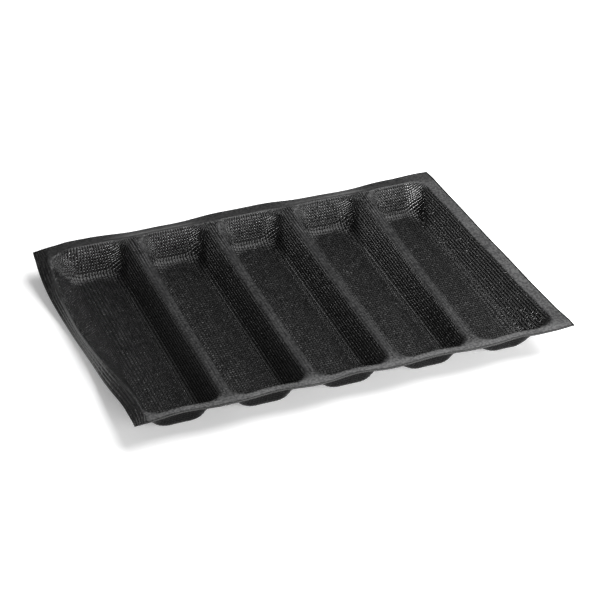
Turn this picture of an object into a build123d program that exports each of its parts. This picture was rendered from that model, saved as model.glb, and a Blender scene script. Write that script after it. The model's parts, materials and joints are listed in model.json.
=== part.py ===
from build123d import *
import math
import os

# A flexible baking form for baguettes: one sheet of glass-fibre cloth, coated with silicone on
# both sides and moulded into parallel troughs, with a flat flange all round and sealed edges.
# Millimetres and degrees. X runs across the troughs, Y along them, Z up.
# The origin is the centre of the underside, on the surface that the trough floors stand on.

# Outline, a standard bakery sheet
TRAY_LENGTH = 600.0
TRAY_WIDTH = 400.0
FRONT_FLANGE = 14.0
BACK_FLANGE = 22.0

# Troughs, measured on the food side
TROUGH_COUNT = 5
TROUGH_PITCH = 115.0
TROUGH_DEPTH = 42.0
MOUTH_WIDTH = 100.0
SIDE_WALL_LEAN = 25.0
END_WALL_LEAN = 18.0
MOUTH_CORNER_RADIUS = 20.0
FLOOR_CORNER_RADIUS = 18.0
FLOOR_EDGE_RADIUS = 17.0
LIP_RADIUS = 6.0

# The sheet's layers, from the food side down
TOP_COAT_THICKNESS = 0.35
CLOTH_THICKNESS = 0.5
UNDER_COAT_THICKNESS = 0.35

# The bead of silicone that wraps each cut edge
SEAL_WIDTH = 3.0
SEAL_THICKNESS = 0.4

MOUTH_LENGTH = TRAY_WIDTH - FRONT_FLANGE - BACK_FLANGE
MOUTH_CENTRE_Y = (FRONT_FLANGE - BACK_FLANGE) / 2
SHEET_THICKNESS = TOP_COAT_THICKNESS + CLOTH_THICKNESS + UNDER_COAT_THICKNESS
FLOOR_LEVEL = SHEET_THICKNESS
RIM_LEVEL = FLOOR_LEVEL + TROUGH_DEPTH
SHEET_LENGTH = TRAY_LENGTH - 2 * SEAL_THICKNESS
SHEET_WIDTH = TRAY_WIDTH - 2 * SEAL_THICKNESS
TOOL_OVERRUN = 3.0
QUARTER_TURN = 90.0


def run_of(height, lean):
    """How far a wall that leans this much from the vertical runs sideways over a height."""
    return height * math.tan(math.radians(lean))


def spread_of(depth, lean):
    """How far a wall line lies out from the food side's, on a surface this deep in the sheet."""
    return depth / math.cos(math.radians(lean)) - run_of(depth, lean)


def trough_outline(depth, height, radius):
    """A trough's rounded plan outline at a height above its floor, on a surface in the sheet."""
    to_rim = TROUGH_DEPTH - height
    half_width = MOUTH_WIDTH / 2 - run_of(to_rim, SIDE_WALL_LEAN) + spread_of(depth, SIDE_WALL_LEAN)
    half_length = MOUTH_LENGTH / 2 - run_of(to_rim, END_WALL_LEAN) + spread_of(depth, END_WALL_LEAN)
    level = Plane.XY.offset(FLOOR_LEVEL - depth + height)
    return level * RectangleRounded(2 * half_width, 2 * half_length, radius + depth)


def trough_space(depth):
    """The space in one trough above a surface this deep in the sheet, open past the rim."""
    floor = trough_outline(depth, 0, FLOOR_CORNER_RADIUS)
    mouth = trough_outline(depth, TROUGH_DEPTH + TOOL_OVERRUN, MOUTH_CORNER_RADIUS)
    space = loft([floor, mouth])
    floor_edges = space.faces().sort_by(Axis.Z)[0].edges()
    return fillet(floor_edges, FLOOR_EDGE_RADIUS + depth)


def block_under(depth):
    """Everything under a surface this deep in the sheet, down to a flat base below the tray."""
    top = RIM_LEVEL - depth
    base = -TOOL_OVERRUN
    block = Pos(0, 0, base) * Box(
        SHEET_LENGTH, SHEET_WIDTH, top - base, align=(Align.CENTER, Align.CENTER, Align.MIN)
    )
    space = trough_space(depth)
    for place in GridLocations(TROUGH_PITCH, 0, TROUGH_COUNT, 1):
        block -= Pos(0, MOUTH_CENTRE_Y, 0) * place * space
    outer_edges = block.faces().sort_by(Axis.Z)[-1].outer_wire().edges()
    top_edges = block.faces().sort_by(Axis.Z)[-1].edges()
    lips = [edge for edge in top_edges if edge not in outer_edges]
    return fillet(lips, LIP_RADIUS - depth)


def sheet_layers():
    """The coated cloth's three layers, each between two nested surfaces of the moulded sheet."""
    food_side = block_under(0)
    cloth_top = block_under(TOP_COAT_THICKNESS)
    cloth_base = block_under(TOP_COAT_THICKNESS + CLOTH_THICKNESS)
    underside = block_under(SHEET_THICKNESS)
    return {
        "top_coat": food_side - cloth_top,
        "glass_cloth": cloth_top - cloth_base,
        "under_coat": cloth_base - underside,
    }


def edge_seal(turn, run, reach):
    """A U-shaped bead along one edge of the sheet, mitred at the tray's corners."""
    outline = Polygon(
        (-run / 2, -reach / 2),
        (run / 2, -reach / 2),
        (run / 2 - SEAL_WIDTH, -reach / 2 + SEAL_WIDTH),
        (-run / 2 + SEAL_WIDTH, -reach / 2 + SEAL_WIDTH),
        align=None,
    )
    base = RIM_LEVEL - SHEET_THICKNESS - SEAL_THICKNESS
    strip = Pos(0, 0, base) * extrude(outline, SHEET_THICKNESS + 2 * SEAL_THICKNESS)
    slot = Pos(0, 0, RIM_LEVEL) * Box(
        run - 2 * SEAL_THICKNESS,
        reach - 2 * SEAL_THICKNESS,
        SHEET_THICKNESS,
        align=(Align.CENTER, Align.CENTER, Align.MAX),
    )
    return Rot(0, 0, turn) * (strip - slot)


def edge_seals():
    """The four beads, one along each cut edge."""
    return {
        "edge_seal_front": edge_seal(0, TRAY_LENGTH, TRAY_WIDTH),
        "edge_seal_right": edge_seal(QUARTER_TURN, TRAY_WIDTH, TRAY_LENGTH),
        "edge_seal_back": edge_seal(2 * QUARTER_TURN, TRAY_LENGTH, TRAY_WIDTH),
        "edge_seal_left": edge_seal(3 * QUARTER_TURN, TRAY_WIDTH, TRAY_LENGTH),
    }


os.makedirs("parts", exist_ok=True)
for name, shape in (sheet_layers() | edge_seals()).items():
    shape.label = name
    export_step(shape, f"parts/{name}.step")
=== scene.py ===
import json
import math

import bpy
import numpy as np
from mathutils import Matrix, Vector


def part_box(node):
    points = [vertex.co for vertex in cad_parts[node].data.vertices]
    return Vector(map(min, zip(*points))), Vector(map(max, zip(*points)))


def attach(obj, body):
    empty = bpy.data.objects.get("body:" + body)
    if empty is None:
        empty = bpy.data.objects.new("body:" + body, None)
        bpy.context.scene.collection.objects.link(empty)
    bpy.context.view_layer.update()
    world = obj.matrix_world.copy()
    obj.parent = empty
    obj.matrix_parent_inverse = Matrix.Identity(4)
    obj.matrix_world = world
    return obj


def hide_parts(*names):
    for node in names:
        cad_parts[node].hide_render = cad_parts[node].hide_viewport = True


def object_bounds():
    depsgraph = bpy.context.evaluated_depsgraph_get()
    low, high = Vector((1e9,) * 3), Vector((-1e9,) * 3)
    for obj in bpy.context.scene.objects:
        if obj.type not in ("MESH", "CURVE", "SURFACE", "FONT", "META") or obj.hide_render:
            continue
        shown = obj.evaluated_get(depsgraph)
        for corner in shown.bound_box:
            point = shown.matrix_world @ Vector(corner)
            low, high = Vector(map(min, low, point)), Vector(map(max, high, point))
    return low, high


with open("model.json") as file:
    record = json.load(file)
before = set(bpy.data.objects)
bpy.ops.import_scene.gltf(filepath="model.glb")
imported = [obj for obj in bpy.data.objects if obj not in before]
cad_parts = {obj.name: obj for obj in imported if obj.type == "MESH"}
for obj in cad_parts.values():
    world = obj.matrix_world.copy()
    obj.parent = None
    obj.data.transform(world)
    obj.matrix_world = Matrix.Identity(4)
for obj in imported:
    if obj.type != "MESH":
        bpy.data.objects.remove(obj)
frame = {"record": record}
CAD_LOW, CAD_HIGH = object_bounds()

# A flexible baking form: one open mesh of coated glass yarn, moulded into troughs, with a bead
# of silicone round its cut edge. Metres, in the CAD model's own frame.

# ---- Where the CAD model puts things ----
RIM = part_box("top_coat")[1].z
OUTLINE_LOW = np.array(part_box("edge_seal_front")[0])[:2]
OUTLINE_HIGH = np.array(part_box("edge_seal_back")[1])[:2]
OPENINGS = {o["name"]: np.array(o["box_m"]) for o in frame["record"]["physics"]["openings"]}
MOUTHS = [box.mean(axis=0) for name, box in OPENINGS.items() if name.endswith("_mouth")]
TROUGH_X = np.array([centre[0] for centre in MOUTHS])
TROUGH_Y = MOUTHS[0][1]
RIDGE_X = (TROUGH_X[:-1] + TROUGH_X[1:]) / 2

# ---- The moulded shape, as the CAD model has it ----
TROUGH_DEPTH = 0.042
MOUTH_HALF_WIDTH = 0.050
MOUTH_HALF_LENGTH = 0.182
SIDE_WALL_LEAN = math.radians(25)
END_WALL_LEAN = math.radians(18)
MOUTH_CORNER_RADIUS = 0.020
FLOOR_CORNER_RADIUS = 0.018
FLOOR_EDGE_RADIUS = 0.017
LIP_RADIUS = 0.006
SHEET_THICKNESS = 0.0012

# ---- The mesh cloth ----
# Warps run along the troughs and wefts across them. A rise is measured from the middle surface.
WARP_COUNT = 205
WEFT_COUNT = 106
WARP_WIDTH = 0.0028
WEFT_WIDTH = 0.0038
WARP_RISE = 0.00100
WEFT_RISE = 0.00025
EDGE_RISE = 0.00010
LAST_WALL_RISE = 0.00025
KNOT_RISE = 0.00108
KNOT_ALTERNATION = 0.00010
BASE_DROP = 0.0004
FILLED_RISE = 0.00048
FILLED_CREST = 0.00068
FILLED_ABOVE = -0.0005
# A stretch is how far an open strand's edges are drawn in toward its middle, as a share. A weft's
# goes from the middle of a trough to its end.
WARP_STRETCH = 0.35
WEFT_STRETCH = (0.05, 0.11)
WEFT_SLACK = 0.55
WEFT_SLACK_REACH = (0.55, 1.1)
UNEVEN_EDGE = 0.10
UNEVEN_EDGE_SEED = 3
UNEVEN_RISE = 0.00005
UNEVEN_RISE_SEED = 5

# ---- How thick the smooth coat is, from 0 to 1, with painted highlights and painted shade ----
# The faded coat is the share lost at the ridges' back ends, and the weave is how much of the
# strands' relief a ridge shows. The back flange's thinner coat is painted shade. The coats on the
# warps' crests are painted highlights, and on the last right wall painted light. Below 0 is the underside.
RIDGE_COAT = 0.35
BACK_COAT_PAINTED_SHADE = 0.45
CREST_PAINTED_HIGHLIGHT = 0.30
LAST_WALL_PAINTED_LIGHT = 0.90
CORNER_PAINTED_HIGHLIGHT = 0.90
RIDGE_PAINTED_HIGHLIGHT = 0.35
FADED_COAT = 0.7
RIDGE_WEAVE = 0.30
UNDERSIDE_COAT = -0.8

# ---- Where the cloth changes: lengths, and pairs that a blend starts and ends at ----
RIDGE_BARE_WIDTH = 0.020
RIDGE_BARE_LENGTH = 0.040
RIDGE_FADE_LENGTH = 0.050
FAN_BLEND = (-0.012, 0.016)
RIDGE_END_BLEND = (-0.015, 0.005)
RIDGE_SIDE_BLEND = (0.010, 0.018)
CORNER_SIDE_BLEND = (0.016, 0.034)
CORNER_END_BLEND = (-0.085, -0.050)
LEFT_LIP_BLEND = (0.000, 0.005)
BACK_LIP_BLEND = (-0.010, 0.005)
CREST_END_BLEND = (0.000, 0.006)
LAST_WALL_BLEND = (0.30, 0.60)

# ---- How the soft sheet lies ----
LEFT_SPLAY = math.radians(26)
LEFT_SPLAY_REACH = (0.10, 1.16)
LEFT_SPREAD = 0.0085
LEFT_SOFTNESS = 1.6
LEFT_CURL = math.radians(54)
LEFT_CURL_REACH = (-0.05, 1.03)
LEFT_CURL_BEND = (-0.004, 0.008)
RIGHT_SWING = 0.0091
RIGHT_SWING_PIVOT = 0.54
BACK_DROOP = math.radians(9.6)
BACK_WAVE = math.radians(5.7)
BACK_WAVE_LENGTH = 0.268
BACK_BEND = (-0.004, 0.012)
FRONT_DROOP = math.radians(5)
FRONT_BEND = (-0.010, 0.004)
FRONT_REACH = 0.05
FRONT_SCALLOP = 0.004
FRONT_SKEW = 0.003
FRONT_RIGHT_LIFT = 0.004
FRONT_RIGHT_REACH = 0.05
LAST_RIDGE_LEAN = 0.0038
LAST_RIDGE_PIVOT = 0.46
LAST_RIDGE_REACH = (0.004, 0.040)
RIDGE_SAG = 0.0018
RIGHT_FOOT_SPREAD = 0.006
RIGHT_FOOT_PLACE = 0.004
RIGHT_FOOT_WIDTH = 0.014
RIPPLE = 0.0006
RIPPLE_LENGTH = (0.083, 0.121)
RIPPLE_PHASE = 0.3

# ---- How finely the shape is worked out ----
HEIGHT_STEPS = 36
SECTION_SAMPLES = 6001


# ---- The moulded surface ----
def inset_at(level, lean):
    """How far inside the mouth line a wall lies at a level below the rim, its two bends included."""
    slope = math.pi / 2 - lean
    bend = math.tan(slope / 2)
    floor_end = TROUGH_DEPTH * math.tan(lean) + FLOOR_EDGE_RADIUS * bend
    wall = -level * math.tan(lean)
    lip_drop = level + LIP_RADIUS
    lip = -LIP_RADIUS * bend + np.sqrt(np.maximum(LIP_RADIUS**2 - lip_drop**2, 0))
    floor_drop = FLOOR_EDGE_RADIUS - (level + TROUGH_DEPTH)
    foot = floor_end - np.sqrt(np.maximum(FLOOR_EDGE_RADIUS**2 - floor_drop**2, 0))
    share = 1 - math.cos(slope)
    wall = np.where(level > -LIP_RADIUS * share, lip, wall)
    return np.where(level < -TROUGH_DEPTH + FLOOR_EDGE_RADIUS * share, foot, wall)


def outside_outline(across, along, level):
    """Signed distance in plan from a trough's rounded outline at a level below the rim."""
    radius = MOUTH_CORNER_RADIUS + (FLOOR_CORNER_RADIUS - MOUTH_CORNER_RADIUS) * -level / TROUGH_DEPTH
    x = across - MOUTH_HALF_WIDTH + inset_at(level, SIDE_WALL_LEAN) + radius
    y = along - MOUTH_HALF_LENGTH + inset_at(level, END_WALL_LEAN) + radius
    beyond = np.hypot(np.maximum(x, 0), np.maximum(y, 0))
    return beyond + np.minimum(np.maximum(x, y), 0) - radius


def sheet_level(x, y):
    """The food side's level below the rim at points in plan, found by halving."""
    across = np.abs(x[..., None] - TROUGH_X).min(axis=-1)
    along = np.abs(y - TROUGH_Y)
    low, high = np.full(x.shape, -TROUGH_DEPTH), np.zeros(x.shape)
    on_flange = outside_outline(across, along, high) >= 0
    on_floor = outside_outline(across, along, low) <= 0
    for _ in range(HEIGHT_STEPS):
        middle = (low + high) / 2
        inside = outside_outline(across, along, middle) < 0
        high = np.where(inside, middle, high)
        low = np.where(inside, low, middle)
    level = (low + high) / 2
    return np.where(on_flange, 0.0, np.where(on_floor, -TROUGH_DEPTH, level))


def smooth_step(value, start, end):
    """0 before start and 1 after end, with a smooth rise between them."""
    share = np.clip((value - start) / (end - start), 0, 1)
    return share * share * (3 - 2 * share)


def arch(value, start, end, power=1.0):
    """A hump from start to end, 1 in the middle and 0 outside."""
    share = np.clip((value - start) / (end - start), 0, 1)
    return np.sin(share * math.pi) ** power


def turned(near, far, hinge_near, hinge_far, angle):
    """Two coordinates turned about a hinge by an angle at each point."""
    a, b = near - hinge_near, far - hinge_far
    turned_near = hinge_near + a * np.cos(angle) - b * np.sin(angle)
    turned_far = hinge_far + a * np.sin(angle) + b * np.cos(angle)
    return turned_near, turned_far


def flex(points):
    """The tray's lie: how the soft sheet has sagged and spread from its moulded shape."""
    x, y, z = points[..., 0], points[..., 1], points[..., 2]
    rest_x, rest_y = x, y
    left, front = OUTLINE_LOW
    right, back = OUTLINE_HIGH
    along = (rest_y - front) / (back - front)
    high = smooth_step(z, RIM - TROUGH_DEPTH, RIM)
    floor_half = MOUTH_HALF_WIDTH - float(inset_at(np.array(-TROUGH_DEPTH), SIDE_WALL_LEAN))

    # The left flange curls down at the lip, and its wall leans out about its foot.
    lip = TROUGH_X[0] - MOUTH_HALF_WIDTH
    curl = arch(along, *LEFT_CURL_REACH, LEFT_SOFTNESS)
    splay = arch(along, *LEFT_SPLAY_REACH, LEFT_SOFTNESS)
    x, z = turned(x, z, lip, RIM, LEFT_CURL * smooth_step(lip - rest_x, *LEFT_CURL_BEND) * curl)
    foot = TROUGH_X[0] - floor_half
    angle = LEFT_SPLAY * smooth_step(foot - rest_x, 0, FLOOR_EDGE_RADIUS) * splay
    x, z = turned(x, z, foot, RIM - TROUGH_DEPTH + FLOOR_EDGE_RADIUS, angle)
    share = 1 - smooth_step(rest_x, lip, TROUGH_X[0])
    x = x - LEFT_SPREAD * share * splay

    # The right wall swings in at the back and out at the front, and the last ridge the other way.
    share = smooth_step(rest_x - TROUGH_X[-1], floor_half, MOUTH_HALF_WIDTH)
    x = x + 2 * RIGHT_SWING * (RIGHT_SWING_PIVOT - along) * share
    share = high * (1 - smooth_step(np.abs(rest_x - RIDGE_X[-1]), *LAST_RIDGE_REACH))
    x = x + 2 * LAST_RIDGE_LEAN * (along - LAST_RIDGE_PIVOT) * share

    # The back flange droops in waves, and the front one a little.
    lip = TROUGH_Y + MOUTH_HALF_LENGTH
    droop = BACK_DROOP - BACK_WAVE * np.cos(2 * math.pi * rest_x / BACK_WAVE_LENGTH)
    y, z = turned(y, z, lip, RIM, -droop * smooth_step(rest_y, lip + BACK_BEND[0], lip + BACK_BEND[1]))
    lip = TROUGH_Y - MOUTH_HALF_LENGTH
    share = 1 - smooth_step(rest_y, lip + FRONT_BEND[0], lip + FRONT_BEND[1])
    y, z = turned(y, z, lip, RIM, FRONT_DROOP * share)

    # The front edge is drawn in over each trough, and its right corner lifts.
    across = np.abs(rest_x[..., None] - TROUGH_X).min(axis=-1)
    front_share = 1 - smooth_step(rest_y, front, front + FRONT_REACH)
    y = y + FRONT_SCALLOP * (1 - smooth_step(across, 0, MOUTH_HALF_WIDTH)) * front_share
    y = y - FRONT_SKEW * rest_x / right * front_share
    z = z + FRONT_RIGHT_LIFT * smooth_step(rest_x, right - FRONT_RIGHT_REACH, right) * front_share

    # The last trough's outer wall stands less steep at its foot.
    foot = TROUGH_X[-1] + floor_half
    x = x - RIGHT_FOOT_SPREAD * np.exp(-((rest_x - foot - RIGHT_FOOT_PLACE) / RIGHT_FOOT_WIDTH) ** 2)

    # The rim sags a little between the end walls, and is nowhere quite flat.
    z = z - RIDGE_SAG * high * arch(rest_y, front, back)
    ripple_x = np.sin(2 * math.pi * (rest_x / RIPPLE_LENGTH[0] + RIPPLE_PHASE))
    ripple_y = np.sin(2 * math.pi * rest_y / RIPPLE_LENGTH[1])
    z = z + RIPPLE * high * (ripple_x * ripple_y)
    return np.stack([x, y, z], axis=-1)


def moulded(x, y):
    """Points of the food side's surface, flexed, for points in plan."""
    return flex(np.stack([x, y, RIM + sheet_level(x, y)], axis=-1))


# ---- Cloth lines ----
# The cloth's grid has three lines for each strand: its left edge, its middle and its right edge.
# A line's number modulo 3 says which it is, and an opening lies between a right and a left edge.
def arc_lengths(section, low, high):
    """Sample places from low to high and the length of the section's curve up to each."""
    place = np.linspace(low, high, SECTION_SAMPLES)
    level = section(place)
    steps = np.hypot(np.diff(place), np.diff(level))
    return place, np.concatenate([[0], np.cumsum(steps)])


def strand_lines(section, low, high, count, width):
    """The three lines of each strand: places where the cloth follows the moulded section, and
    places where it lies flat."""
    place, length = arc_lengths(section, low, high)
    middles = (np.arange(count) + 0.5) / count
    sides = np.array([-0.5, 0, 0.5]) * width
    moulded_lengths = middles[:, None] * length[-1] + sides
    moulded_places = np.interp(moulded_lengths.ravel(), length, place)
    flat_places = (low + middles[:, None] * (high - low) + sides).ravel()
    return moulded_places, flat_places


def mesh_object(name, points, faces):
    """A smooth-shaded mesh in the scene, its faces all with the same number of corners."""
    mesh = bpy.data.meshes.new(name)
    mesh.vertices.add(len(points))
    mesh.vertices.foreach_set("co", np.asarray(points, np.float32).ravel())
    faces = np.asarray(faces, np.int32)
    mesh.loops.add(faces.size)
    mesh.loops.foreach_set("vertex_index", faces.ravel())
    mesh.polygons.add(len(faces))
    mesh.polygons.foreach_set("loop_start", np.arange(len(faces), dtype=np.int32) * faces.shape[1])
    mesh.polygons.foreach_set("use_smooth", np.ones(len(faces), bool))
    mesh.update(calc_edges=True)
    mesh.validate()
    made = bpy.data.objects.new(name, mesh)
    bpy.context.scene.collection.objects.link(made)
    return made


def cloth_grid():
    """Plan positions of the strands' lines, as two grids. The warps are spaced by the moulded
    section in the troughs and evenly past their ends. The wefts are spaced by the moulded
    section in the troughs and partly evenly between them."""
    def across_section(x):
        return sheet_level(x, np.full(x.shape, TROUGH_Y))

    def along_section(y):
        return sheet_level(np.full(y.shape, TROUGH_X[0]), y)

    left, front = OUTLINE_LOW
    right, back = OUTLINE_HIGH
    warp_x, warp_flat = strand_lines(across_section, left, right, WARP_COUNT, WARP_WIDTH)
    weft_y, weft_flat = strand_lines(along_section, front, back, WEFT_COUNT, WEFT_WIDTH)
    from_middle = np.abs(weft_y - TROUGH_Y)
    fan = smooth_step(from_middle, MOUTH_HALF_LENGTH + FAN_BLEND[0], MOUTH_HALF_LENGTH + FAN_BLEND[1])
    across = np.abs(warp_x[:, None] - TROUGH_X).min(axis=-1)
    start, end = WEFT_SLACK_REACH
    slack = WEFT_SLACK * smooth_step(across, MOUTH_HALF_WIDTH * start, MOUTH_HALF_WIDTH * end)
    x = warp_x[:, None] + (warp_flat - warp_x)[:, None] * fan[None, :]
    y = weft_y[None, :] + (weft_flat - weft_y)[None, :] * slack[:, None]
    return x, y


def surface_normals(points):
    """Unit normals of a grid of points, pointing up from the food side."""
    along_u = np.gradient(points, axis=0)
    along_v = np.gradient(points, axis=1)
    normals = np.cross(along_u, along_v)
    return normals / np.linalg.norm(normals, axis=-1, keepdims=True)


def filled_cells(x, y):
    """Which mesh openings the coating has filled: those on the flanges and the ridge tops, apart
    from the ridges' back ends."""
    hole_x = (x[2:-1:3, 2:-1:3] + x[3::3, 3::3]) / 2
    hole_y = (y[2:-1:3, 2:-1:3] + y[3::3, 3::3]) / 2
    from_ridge = np.abs(hole_x[..., None] - RIDGE_X).min(axis=-1)
    bare_middle = TROUGH_Y + MOUTH_HALF_LENGTH - RIDGE_BARE_LENGTH / 2
    near_back = np.abs(hole_y - bare_middle) < RIDGE_BARE_LENGTH / 2
    bare_end = (from_ridge < RIDGE_BARE_WIDTH) & near_back
    return (sheet_level(hole_x, hole_y) > FILLED_ABOVE) & ~bare_end


def on_filled(filled, columns, rows):
    """The grid points that are corners of a filled opening, or on the outline."""
    marked = np.zeros((columns, rows), bool)
    marked[[0, -1]] = True
    marked[:, [0, -1]] = True
    for right in (0, 1):
        for above in (0, 1):
            marked[2 + right:columns - 1 + right:3, 2 + above:rows - 1 + above:3] |= filled
    return marked


def on_ridge(x, y):
    """1 on the ridges between the troughs, 0 elsewhere, blending over the ends of the mouths."""
    start, end = RIDGE_END_BLEND
    past_mouth = smooth_step(np.abs(y - TROUGH_Y), MOUTH_HALF_LENGTH + start, MOUTH_HALF_LENGTH + end)
    from_ridge = np.abs(x[..., None] - RIDGE_X).min(axis=-1)
    return (1 - past_mouth) * (1 - smooth_step(from_ridge, *RIDGE_SIDE_BLEND))


def fading_end(x, y):
    """0 along a ridge, rising to 1 at its back end, where the coating has left the mesh open."""
    bare_start = TROUGH_Y + MOUTH_HALF_LENGTH - RIDGE_BARE_LENGTH
    fade = smooth_step(y, bare_start - RIDGE_FADE_LENGTH, bare_start)
    return fade * (x > TROUGH_X[0]) * (x < TROUGH_X[-1]) * (y < bare_start + RIDGE_BARE_LENGTH)


def back_right_corner(x, y):
    """1 on the back right corner of each trough but the last, and the ridge end beside it, 0 elsewhere."""
    back_lip = TROUGH_Y + MOUTH_HALF_LENGTH
    from_corner = np.abs(x[..., None] - TROUGH_X[:-1] - MOUTH_HALF_WIDTH).min(axis=-1)
    near_corner = 1 - smooth_step(from_corner, *CORNER_SIDE_BLEND)
    return near_corner * smooth_step(y, back_lip + CORNER_END_BLEND[0], back_lip + CORNER_END_BLEND[1])


def past_left_lip(x):
    """1 on the left flange, where the coating is thinnest and the weave shows, 0 elsewhere. Its darker
    colour there is partly painted shade.
    """
    return smooth_step(TROUGH_X[0] - MOUTH_HALF_WIDTH - x, *LEFT_LIP_BLEND)


def last_right_wall(x):
    """1 on the right wall of the last trough, 0 elsewhere."""
    start, end = LAST_WALL_BLEND
    return smooth_step(x - TROUGH_X[-1], start * MOUTH_HALF_WIDTH, end * MOUTH_HALF_WIDTH)


def strand_rise(filled, x, y):
    """How far the coated strands stand out from the middle surface at each grid point, and how
    solid the sheet is there, from 0 on open mesh to 1 where its openings are filled."""
    columns, rows = x.shape
    column_middle = (np.arange(columns) % 3 == 1)[:, None]
    row_middle = (np.arange(rows) % 3 == 1)[None, :]
    marked = on_filled(filled, columns, rows).astype(float)
    padded = np.pad(marked, 1, mode="edge")
    around = [padded[1 + a:1 + a + columns, 1 + b:1 + b + rows] for a in (-1, 0, 1) for b in (-1, 0, 1)]
    solid = np.where(column_middle | row_middle, np.max(around, axis=0), marked)
    warp_number = np.arange(columns)[:, None] // 3
    weft_number = np.arange(rows)[None, :] // 3
    sign = np.where((warp_number + weft_number) % 2 == 0, 1, -1)
    between_warps = np.where(row_middle, WEFT_RISE, EDGE_RISE) + LAST_WALL_RISE * last_right_wall(x)
    rise = np.where(column_middle, WARP_RISE, between_warps)
    rise = np.where(column_middle & row_middle, KNOT_RISE + sign * KNOT_ALTERNATION, rise)
    rise = rise + np.random.default_rng(UNEVEN_RISE_SEED).normal(0, UNEVEN_RISE, rise.shape)
    flat_rise = np.where(column_middle | row_middle, FILLED_CREST, FILLED_RISE)
    covered = (1 - RIDGE_WEAVE * on_ridge(x, y)) * (1 - fading_end(x, y)) * (1 - past_left_lip(x))
    return rise + (flat_rise - rise) * (solid * covered), solid


def coat_and_painted_light(x, y, solid):
    """How thick the smooth coat is, from 0 in the open mesh to 1 on the front and right flanges,
    with painted light and shade laid on it. The back flange's thinner coat is painted shade, and the
    left flange, which has none, is darker partly as painted shade. The crests of the warps carry some
    of it everywhere as a painted highlight, more on the last right wall as painted light, and more on
    the ridges and the back right corners as painted highlights."""
    past_back_lip = y - TROUGH_Y - MOUTH_HALF_LENGTH
    thickness = (1 - (1 - RIDGE_COAT) * on_ridge(x, y)) * (1 - FADED_COAT * fading_end(x, y))
    # The back flange's thinner coat is painted shade.
    thickness = thickness * (1 - (1 - BACK_COAT_PAINTED_SHADE) * smooth_step(past_back_lip, *BACK_LIP_BLEND))
    # No coat on the left flange: its weave shows, and its darker colour is partly painted shade.
    thickness = thickness * (1 - past_left_lip(x)) * solid
    before_back_lip = 1 - smooth_step(past_back_lip, *CREST_END_BLEND)
    # The coat on the warps' crests is a painted highlight, and on the last right wall painted light.
    painted_crest_light = CREST_PAINTED_HIGHLIGHT + (LAST_WALL_PAINTED_LIGHT - CREST_PAINTED_HIGHLIGHT) * last_right_wall(x)
    painted_crest_light = painted_crest_light + RIDGE_PAINTED_HIGHLIGHT * on_ridge(x, y)
    painted_crest_light = painted_crest_light + CORNER_PAINTED_HIGHLIGHT * back_right_corner(x, y) * before_back_lip
    column_middle = (np.arange(x.shape[0]) % 3 == 1)[:, None]
    return np.where(column_middle, np.maximum(thickness, painted_crest_light), thickness)


def drawn_thin(x, y, solid):
    """The grid with its open strands drawn thinner: the wefts on the last right wall, and the
    warps there and on the back right corners."""
    warp_middle = np.repeat(x[1::3], 3, axis=0)
    weft_middle = np.repeat(y[:, 1::3], 3, axis=1)
    toward_end = np.abs(y - TROUGH_Y) / MOUTH_HALF_LENGTH
    weft_stretch = WEFT_STRETCH[0] + (WEFT_STRETCH[1] - WEFT_STRETCH[0]) * toward_end
    stretched = np.maximum(last_right_wall(x), back_right_corner(x, y))
    thin_y = y + (weft_middle - y) * weft_stretch * last_right_wall(x) * (1 - solid)
    thin_x = x + (warp_middle - x) * WARP_STRETCH * stretched * (1 - solid)
    return thin_x, thin_y


def unevenly_placed(x, y, solid):
    """The grid with the edges of its open strands a little uneven, its outline kept."""
    random = np.random.default_rng(UNEVEN_EDGE_SEED)
    movable = 1 - solid
    movable[[0, -1]] = 0
    movable[:, [0, -1]] = 0
    uneven_x = x + np.gradient(x, axis=0) * random.normal(0, UNEVEN_EDGE, x.shape) * movable
    uneven_y = y + np.gradient(y, axis=1) * random.normal(0, UNEVEN_EDGE, x.shape) * movable
    return uneven_x, uneven_y


def cloth_pieces():
    """The cloth, one piece for each trough, cut at the middles of the ridges."""
    x, y = cloth_grid()
    filled = filled_cells(x, y)
    columns, rows = x.shape
    rise, solid = strand_rise(filled, x, y)
    x, y = unevenly_placed(*drawn_thin(x, y, solid), solid)
    coat = coat_and_painted_light(x, y, solid)
    food_side = moulded(x, y)
    normals = surface_normals(food_side)
    middle = food_side - normals * SHEET_THICKNESS / 2
    top = middle + normals * rise[..., None]
    base = middle - normals * np.clip(rise, BASE_DROP, SHEET_THICKNESS / 2)[..., None]
    first_past_ridge = np.searchsorted(x[1::3, rows // 2], RIDGE_X)
    splits = [0, *(3 * first_past_ridge - 1), columns - 1]
    pieces = []
    for number, (start, end) in enumerate(zip(splits[:-1], splits[1:]), 1):
        parts = slice(start, end + 1)
        name = f"cloth_trough_{number}"
        piece = cloth_piece(name, start, top[parts], base[parts], coat[parts], filled)
        pieces.append(piece)
    return pieces


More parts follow.
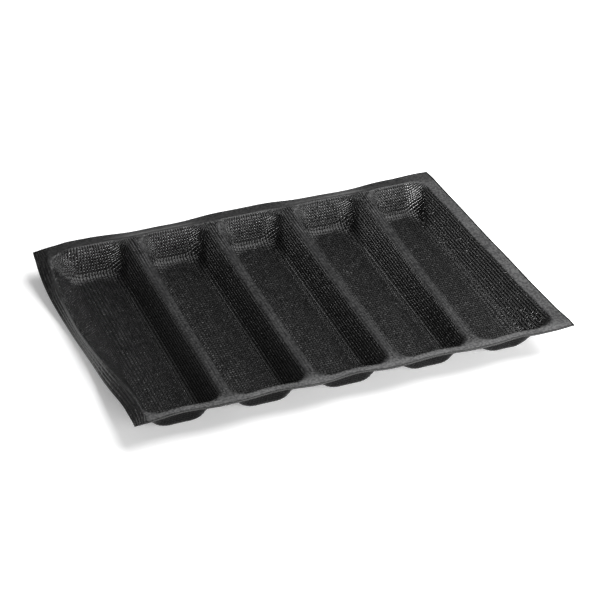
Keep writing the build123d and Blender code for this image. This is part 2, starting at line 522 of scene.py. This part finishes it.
def cloth_piece(name, start, top, base, coat, filled):
    """One trough's share of the mesh cloth: strands with walls round each opening, closed at the cuts."""
    columns, rows = coat.shape
    top_number = np.arange(columns * rows).reshape(columns, rows)
    base_number = top_number + columns * rows
    points = np.concatenate([top.reshape(-1, 3), base.reshape(-1, 3)])
    a, b = np.meshgrid(np.arange(columns - 1), np.arange(rows - 1), indexing="ij")
    between_strands = ((a + start) % 3 == 2) & (b % 3 == 2)
    hole_column = np.minimum((a + start) // 3, filled.shape[0] - 1)
    hole_row = np.minimum(b // 3, filled.shape[1] - 1)
    is_open = between_strands & ~filled[hole_column, hole_row]

    def corners(mask):
        left, front = a[mask], b[mask]
        return [(left, front), (left + 1, front), (left + 1, front + 1), (left, front + 1)]

    solid_corners = corners(~is_open)
    faces = [
        np.stack([top_number[c] for c in solid_corners], axis=1),
        np.stack([base_number[c] for c in reversed(solid_corners)], axis=1),
    ]
    open_corners = corners(is_open)
    for here, following in zip(open_corners, open_corners[1:] + open_corners[:1]):
        wall = [top_number[here], top_number[following], base_number[following], base_number[here]]
        faces.append(np.stack(wall, axis=1))
    rims = [(0, slice(None)), (slice(None), -1), (-1, slice(None, None, -1)), (slice(None, None, -1), 0)]
    for rim in rims:
        upper, lower = top_number[rim], base_number[rim]
        faces.append(np.stack([upper[:-1], lower[:-1], lower[1:], upper[1:]], axis=1))
    made = mesh_object(name, points, np.concatenate(faces))
    sharpen_rim(made, top_number, base_number, rims)
    # The coat attribute carries the coat's thickness and the painted highlights and painted shade laid on
    # it.
    shade = made.data.attributes.new("coat", "FLOAT", "POINT")
    underside = np.full(coat.size, UNDERSIDE_COAT)
    shade.data.foreach_set("value", np.concatenate([coat.ravel(), underside]).astype(np.float32))
    return made


def sharpen_rim(made, top_number, base_number, rims):
    """Mark the rim's edges as sharp, so that neighbouring pieces meet with no visible line."""
    ends = np.zeros(2 * len(made.data.edges), np.int32)
    made.data.edges.foreach_get("vertices", ends)
    ends = np.sort(ends.reshape(-1, 2), axis=1)
    count = len(made.data.vertices)
    rim_edges = []
    for rim in rims:
        for line in (top_number[rim], base_number[rim]):
            pairs = np.sort(np.stack([line[:-1], line[1:]], axis=1), axis=1)
            rim_edges.append(pairs[:, 0] * count + pairs[:, 1])
    edge_keys = ends[:, 0].astype(np.int64) * count + ends[:, 1]
    sharp = np.isin(edge_keys, np.concatenate(rim_edges))
    mark = made.data.attributes.new("sharp_edge", "BOOLEAN", "EDGE")
    mark.data.foreach_set("value", sharp)


# ---- Edge bead ----
BEAD_WIDTH = 0.0030
BEAD_HALF_HEIGHT = 0.0008
BEAD_SQUARENESS = 0.75
BEAD_CORNERS = 12
BEAD_STEP = 0.004
SLOPE_STEP = 0.0005


def bead_outline():
    """The bead's section: distance in from the sheet's edge, and height over its middle."""
    turn = np.arange(BEAD_CORNERS) / BEAD_CORNERS * 2 * math.pi
    outward = np.sign(np.cos(turn)) * np.abs(np.cos(turn)) ** BEAD_SQUARENESS
    height = np.sign(np.sin(turn)) * np.abs(np.sin(turn)) ** BEAD_SQUARENESS
    return (1 - outward) * BEAD_WIDTH / 2, height * BEAD_HALF_HEIGHT


def bead(name, start, end, inward):
    """A bead along one edge, from corner to corner, mitred where it meets the next."""
    start, end, inward = np.array(start), np.array(end), np.array(inward)
    length = np.linalg.norm(end - start)
    along = (end - start) / length
    count = int(length / BEAD_STEP)
    distance, height = bead_outline()
    # Each corner of the section starts and stops its own distance in, which mitres the ends.
    share = np.linspace(0, 1, count)[:, None]
    run = distance[None, :] + share * (length - 2 * distance[None, :])
    plan = start + run[..., None] * along + distance[None, :, None] * inward
    x, y = plan[..., 0], plan[..., 1]
    slope_x = moulded(x + SLOPE_STEP, y) - moulded(x - SLOPE_STEP, y)
    slope_y = moulded(x, y + SLOPE_STEP) - moulded(x, y - SLOPE_STEP)
    normals = np.cross(slope_x, slope_y)
    normals /= np.linalg.norm(normals, axis=-1, keepdims=True)
    points = moulded(x, y) + normals * (height[None, :, None] - SHEET_THICKNESS / 2)
    ring = np.arange(count * BEAD_CORNERS).reshape(count, BEAD_CORNERS)
    following = np.roll(ring, -1, axis=1)
    sides = np.stack([ring[:-1], following[:-1], following[1:], ring[1:]], axis=-1).reshape(-1, 4)
    caps = []
    for low in range(BEAD_CORNERS // 2 - 1):
        high = BEAD_CORNERS - 1 - low
        caps.append([ring[0, low], ring[0, high], ring[0, high - 1], ring[0, low + 1]])
        caps.append([ring[-1, low + 1], ring[-1, high - 1], ring[-1, high], ring[-1, low]])
    return mesh_object(name, points.reshape(-1, 3), np.concatenate([sides, np.array(caps)]))


def edge_beads():
    left, front = OUTLINE_LOW
    right, back = OUTLINE_HIGH
    return {
        "edge_seal_front": bead("bead_front", (left, front), (right, front), (0, 1)),
        "edge_seal_right": bead("bead_right", (right, front), (right, back), (-1, 0)),
        "edge_seal_back": bead("bead_back", (right, back), (left, back), (0, -1)),
        "edge_seal_left": bead("bead_left", (left, back), (left, front), (1, 0)),
    }


# ---- Materials ----
# A mix node's two inputs and its output, for each kind of value that it can mix.
MIX_SOCKETS = {"FLOAT": (2, 3, 0), "RGBA": (6, 7, 2)}

# Greys of the silicone, each from its darkest to its palest.
STRAND_GREYS = ((0.0015, 0.0015, 0.0015), (0.004, 0.004, 0.004))
COAT_GREYS = ((0.003, 0.003, 0.004), (0.050, 0.050, 0.050))


def new_material(name):
    material = bpy.data.materials.new(name)
    material.use_nodes = True
    nodes, links = material.node_tree.nodes, material.node_tree.links
    return material, nodes, links, nodes["Principled BSDF"]


def noise(nodes, links, vector, scale, detail):
    texture = nodes.new("ShaderNodeTexNoise")
    texture.inputs["Scale"].default_value = scale
    texture.inputs["Detail"].default_value = detail
    links.new(vector, texture.inputs["Vector"])
    return texture.outputs["Fac"]


def ramp(nodes, links, factor, low, high, start, end):
    made = nodes.new("ShaderNodeValToRGB")
    made.color_ramp.elements[0].position = start
    made.color_ramp.elements[1].position = end
    made.color_ramp.elements[0].color = (*low, 1)
    made.color_ramp.elements[1].color = (*high, 1)
    links.new(factor, made.inputs["Fac"])
    return made.outputs["Color"]


def remap(nodes, links, value, low, high, start=0.3, end=0.7):
    made = nodes.new("ShaderNodeMapRange")
    made.inputs["From Min"].default_value = start
    made.inputs["From Max"].default_value = end
    made.inputs["To Min"].default_value = low
    made.inputs["To Max"].default_value = high
    links.new(value, made.inputs["Value"])
    return made.outputs["Result"]


def mixed(nodes, links, factor, low, high, kind):
    """A mix of two values: all low where the factor is 0, all high where it is 1."""
    made = nodes.new("ShaderNodeMix")
    made.data_type = kind
    low_input, high_input, result = MIX_SOCKETS[kind]
    links.new(factor, made.inputs["Factor"])
    links.new(low, made.inputs[low_input])
    links.new(high, made.inputs[high_input])
    return made.outputs[result]


def silicone_material():
    """Black silicone: dark and glossy on the strands, greyer, mottled and duller where it is
    thick, and where the coat attribute paints highlights onto the warps' crests. It has the least
    specular on the underside, where the coat is below 0."""
    material, nodes, links, shader = new_material("black_silicone_mesh")
    place = nodes.new("ShaderNodeTexCoord").outputs["Object"]
    fine = noise(nodes, links, place, scale=900, detail=3)
    grain = noise(nodes, links, place, scale=330, detail=2)
    broad = noise(nodes, links, place, scale=22, detail=4)
    # The coat attribute brings painted highlights on the warps' crests and painted shade on the back and
    # left flanges, along with the coat's thickness.
    attribute = nodes.new("ShaderNodeAttribute")
    attribute.attribute_name = "coat"
    coat = attribute.outputs["Fac"]
    strand_colour = ramp(nodes, links, broad, *STRAND_GREYS, start=0.35, end=0.65)
    coat_colour = ramp(nodes, links, grain, *COAT_GREYS, start=0.43, end=0.57)
    colour = mixed(nodes, links, coat, strand_colour, coat_colour, "RGBA")
    links.new(colour, shader.inputs["Base Color"])
    strand_roughness = remap(nodes, links, fine, low=0.21, high=0.29)
    coat_roughness = remap(nodes, links, broad, low=0.44, high=0.56)
    roughness = mixed(nodes, links, coat, strand_roughness, coat_roughness, "FLOAT")
    links.new(roughness, shader.inputs["Roughness"])
    specular = nodes.new("ShaderNodeMath")
    specular.operation = "MULTIPLY_ADD"
    specular.inputs[1].default_value = 0.25
    specular.inputs[2].default_value = 0.25
    links.new(coat, specular.inputs[0])
    links.new(specular.outputs[0], shader.inputs["Specular IOR Level"])
    bump = nodes.new("ShaderNodeBump")
    bump.inputs["Strength"].default_value = 0.35
    bump.inputs["Distance"].default_value = 0.00008
    links.new(fine, bump.inputs["Height"])
    links.new(bump.outputs["Normal"], shader.inputs["Normal"])
    return material


def floor_material():
    """A pale floor that gives off a little light, so that it shows white in the render."""
    material, _, _, shader = new_material("pale_floor")
    shader.inputs["Base Color"].default_value = (0.95, 0.95, 0.95, 1)
    shader.inputs["Roughness"].default_value = 0.8
    shader.inputs["Emission Color"].default_value = (1, 1, 1, 1)
    shader.inputs["Emission Strength"].default_value = 0.25
    return material


# ---- Camera, from the perspective of the photo's outline ----
CAMERA_AZIMUTH = math.radians(-25.7)
CAMERA_ELEVATION = math.radians(36.47)
CAMERA_ROLL = math.radians(3.9)
CAMERA_DISTANCE = 2.652
CAMERA_LENS = 120.4
CAMERA_AIM = Vector((-0.0093, -0.0300, RIM))


def add_camera():
    azimuth, elevation = CAMERA_AZIMUTH, CAMERA_ELEVATION
    back = Vector((
        math.sin(azimuth) * math.cos(elevation),
        -math.cos(azimuth) * math.cos(elevation),
        math.sin(elevation),
    ))
    right = Vector((math.cos(azimuth), math.sin(azimuth), 0))
    up = back.cross(right)
    rolled_right = right * math.cos(CAMERA_ROLL) + up * math.sin(CAMERA_ROLL)
    rolled_up = up * math.cos(CAMERA_ROLL) - right * math.sin(CAMERA_ROLL)
    data = bpy.data.cameras.new("camera")
    data.lens = CAMERA_LENS
    data.clip_end = 50
    camera = bpy.data.objects.new("camera", data)
    bpy.context.scene.collection.objects.link(camera)
    place = CAMERA_AIM + back * CAMERA_DISTANCE
    turn = Matrix((rolled_right, rolled_up, back)).transposed().to_4x4()
    camera.matrix_world = Matrix.Translation(place) @ turn
    bpy.context.scene.camera = camera


# ---- Stage ----
FLOOR_HALF = 6.0


def place_light(name, data, place, aim):
    light = bpy.data.objects.new(name, data)
    light.location = place
    light.rotation_euler = (Vector(aim) - Vector(place)).to_track_quat("-Z", "Y").to_euler()
    bpy.context.scene.collection.objects.link(light)


def add_softbox(name, place, aim, size, power):
    data = bpy.data.lights.new(name, "AREA")
    data.shape = "RECTANGLE"
    data.size, data.size_y = size
    data.energy = power
    place_light(name, data, place, aim)


def add_spot(name, place, aim, radius, cone, power):
    """A lamp that fades from the middle of its cone to the edge."""
    data = bpy.data.lights.new(name, "SPOT")
    data.shadow_soft_size = radius
    data.spot_size = cone
    data.spot_blend = 1.0
    data.energy = power
    place_light(name, data, place, aim)


def add_floor():
    points = [(x * FLOOR_HALF, y * FLOOR_HALF, 0) for x, y in ((-1, -1), (1, -1), (1, 1), (-1, 1))]
    floor = mesh_object("floor", points, [(0, 1, 2, 3)])
    floor.location.z = CAD_LOW.z
    floor.data.materials.append(floor_material())


def add_stage():
    add_floor()
    world = bpy.data.worlds.new("studio")
    world.use_nodes = True
    background = world.node_tree.nodes["Background"]
    background.inputs["Color"].default_value = (1, 1, 1, 1)
    background.inputs["Strength"].default_value = 0.22
    bpy.context.scene.world = world
    bpy.context.scene.view_settings.view_transform = "Standard"
    middle = (0, 0, 0)
    add_softbox("overhead", place=(1.0, 0.1, 1.9), aim=middle, size=(2.0, 2.0), power=78)
    add_softbox("key", place=(0.75, -1.2, 0.32), aim=(0.25, 0.1, 0), size=(1.7, 0.55), power=30)
    add_softbox("back", place=(-1.5, 1.8, 1.2), aim=middle, size=(1.2, 0.9), power=3)
    # The spot is aimed past the right end, so that it lights the last trough's right wall most.
    past_right_end = (0.42, -0.03, 0)
    cone = math.radians(17)
    add_spot("right_end", place=(-0.85, 1.5, 0.80), aim=past_right_end, radius=0.3, cone=cone, power=60)


add_camera()
silicone = silicone_material()
bonded_layers = ("top_coat", "glass_cloth", "under_coat")
for piece in cloth_pieces():
    piece.data.materials.append(silicone)
    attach(piece, "root")
    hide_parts(*bonded_layers)
for node, piece in edge_beads().items():
    piece.data.materials.append(silicone)
    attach(piece, "root")
    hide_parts(node)
add_stage()
